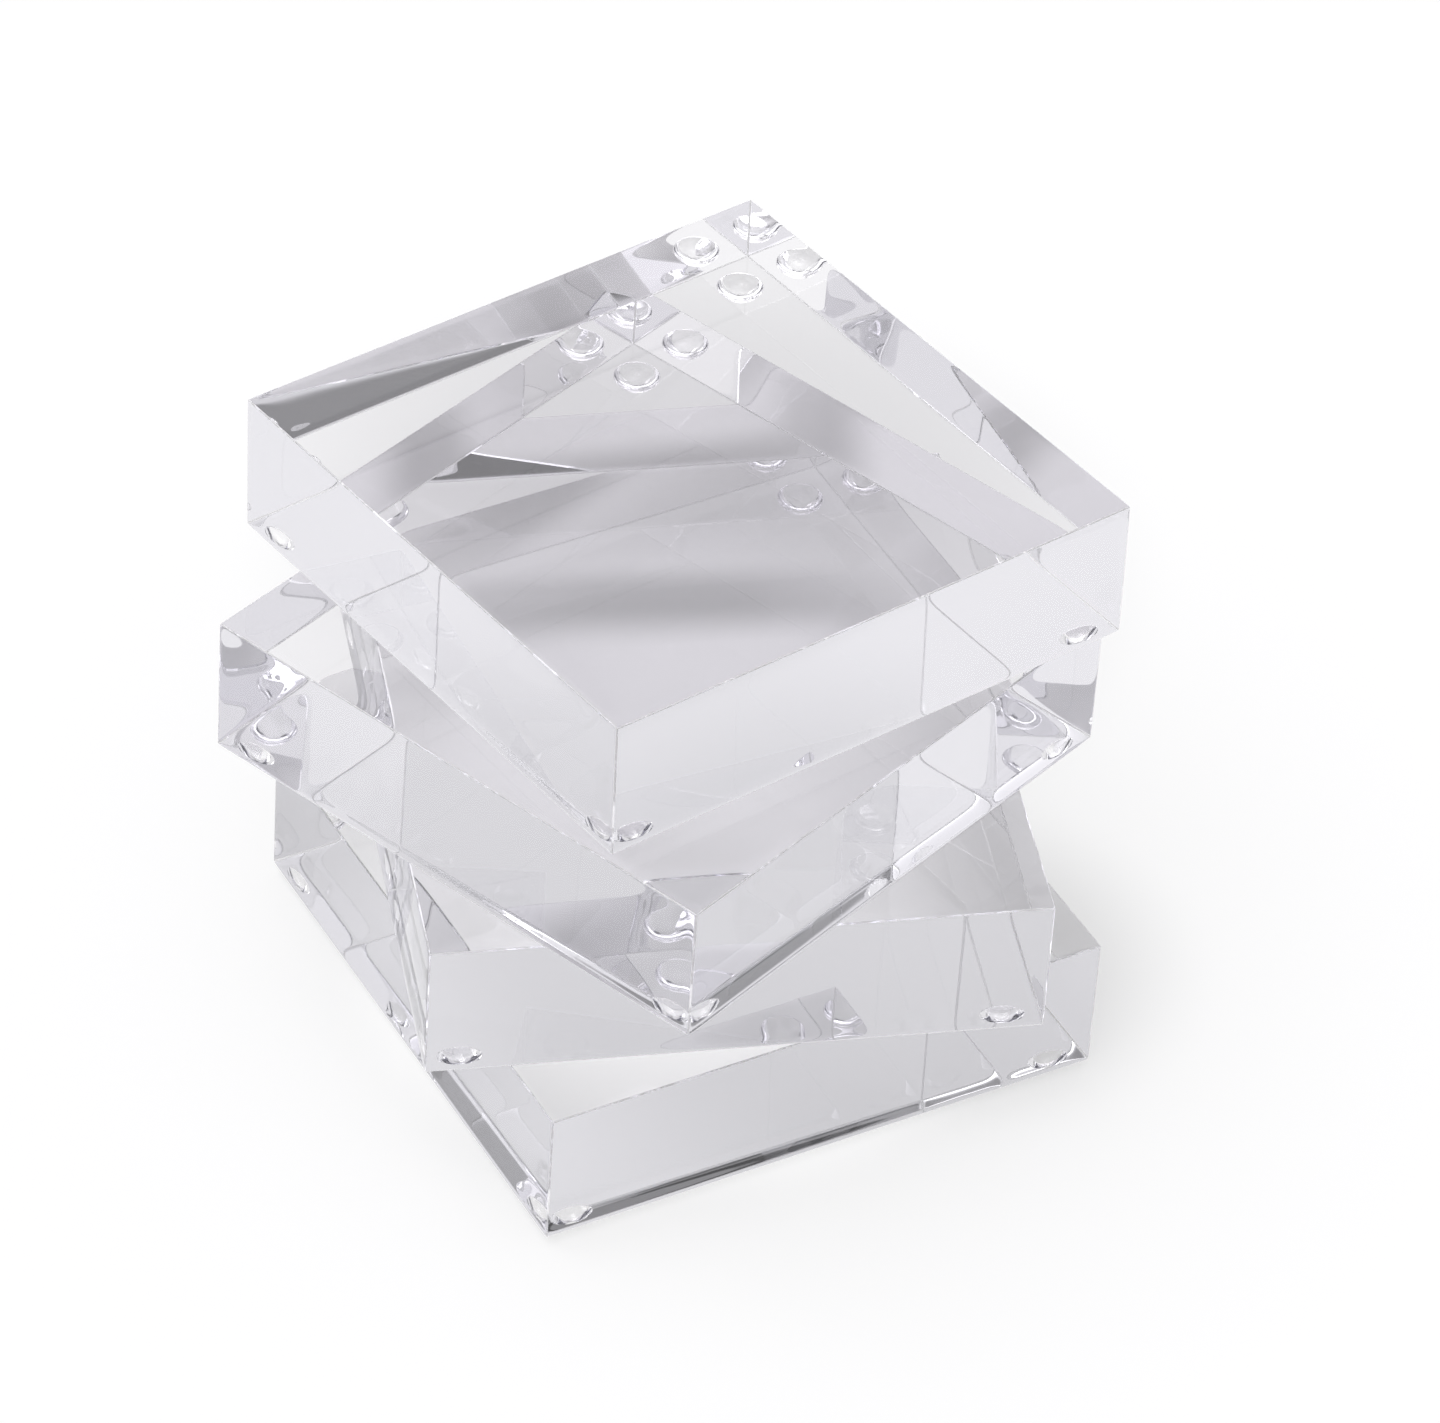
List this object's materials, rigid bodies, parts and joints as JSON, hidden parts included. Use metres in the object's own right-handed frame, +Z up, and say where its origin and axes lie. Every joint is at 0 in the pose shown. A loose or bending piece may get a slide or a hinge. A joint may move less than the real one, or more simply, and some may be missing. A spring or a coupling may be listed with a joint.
{
  "type": "acrylic display block stack",
  "caption": "Stack of loose clear acrylic display blocks on small clear domed feet, each turned to its own angle; the top block leans back slightly on its front feet and back edge.",
  "frame": {"origin": "under the middle of the stack's bounding box, on the surface that the bottom block's feet stand on", "axes": "+Z up; +X and +Y along the sides of the bottom block, with +Y towards the stack's back"},
  "size_m": [0.1368, 0.1314, 0.1063],
  "materials": {
    "acrylic": "clear, polished on all six faces",
    "foot": "clear soft polyurethane, smooth",
    "adhesive": "clear pressure-sensitive adhesive"
  },
  "bodies": {
    "bottom_block": {"bottom_block": "acrylic", "bottom_adhesive_front_left": "adhesive", "bottom_adhesive_front_right": "adhesive", "bottom_adhesive_back_right": "adhesive", "bottom_adhesive_back_left": "adhesive", "bottom_foot_front_left": "foot", "bottom_foot_front_right": "foot", "bottom_foot_back_right": "foot", "bottom_foot_back_left": "foot"},
    "lower_block": {"lower_block": "acrylic", "lower_adhesive_front_left": "adhesive", "lower_adhesive_front_right": "adhesive", "lower_adhesive_back_right": "adhesive", "lower_adhesive_back_left": "adhesive", "lower_foot_front_left": "foot", "lower_foot_front_right": "foot", "lower_foot_back_right": "foot", "lower_foot_back_left": "foot"},
    "upper_block": {"upper_block": "acrylic", "upper_adhesive_front_left": "adhesive", "upper_adhesive_front_right": "adhesive", "upper_adhesive_back_right": "adhesive", "upper_adhesive_back_left": "adhesive", "upper_foot_front_left": "foot", "upper_foot_front_right": "foot", "upper_foot_back_right": "foot", "upper_foot_back_left": "foot"},
    "top_block": {"top_block": "acrylic", "top_adhesive_front_left": "adhesive", "top_adhesive_front_right": "adhesive", "top_adhesive_back_right": "adhesive", "top_adhesive_back_left": "adhesive", "top_foot_front_left": "foot", "top_foot_front_right": "foot", "top_foot_back_right": "foot", "top_foot_back_left": "foot"}
  },
  "joints": [
    {"name": "lower_lift", "type": "slide", "parent": "bottom_block", "child": "lower_block", "axis": [0, 0, 1], "range_m": [0, 0.06]},
    {"name": "upper_lift", "type": "slide", "parent": "lower_block", "child": "upper_block", "axis": [0, 0, 1], "range_m": [0, 0.06]},
    {"name": "top_lift", "type": "slide", "parent": "upper_block", "child": "top_block", "axis": [0, 0, 1], "range_m": [0, 0.06]}
  ]
}
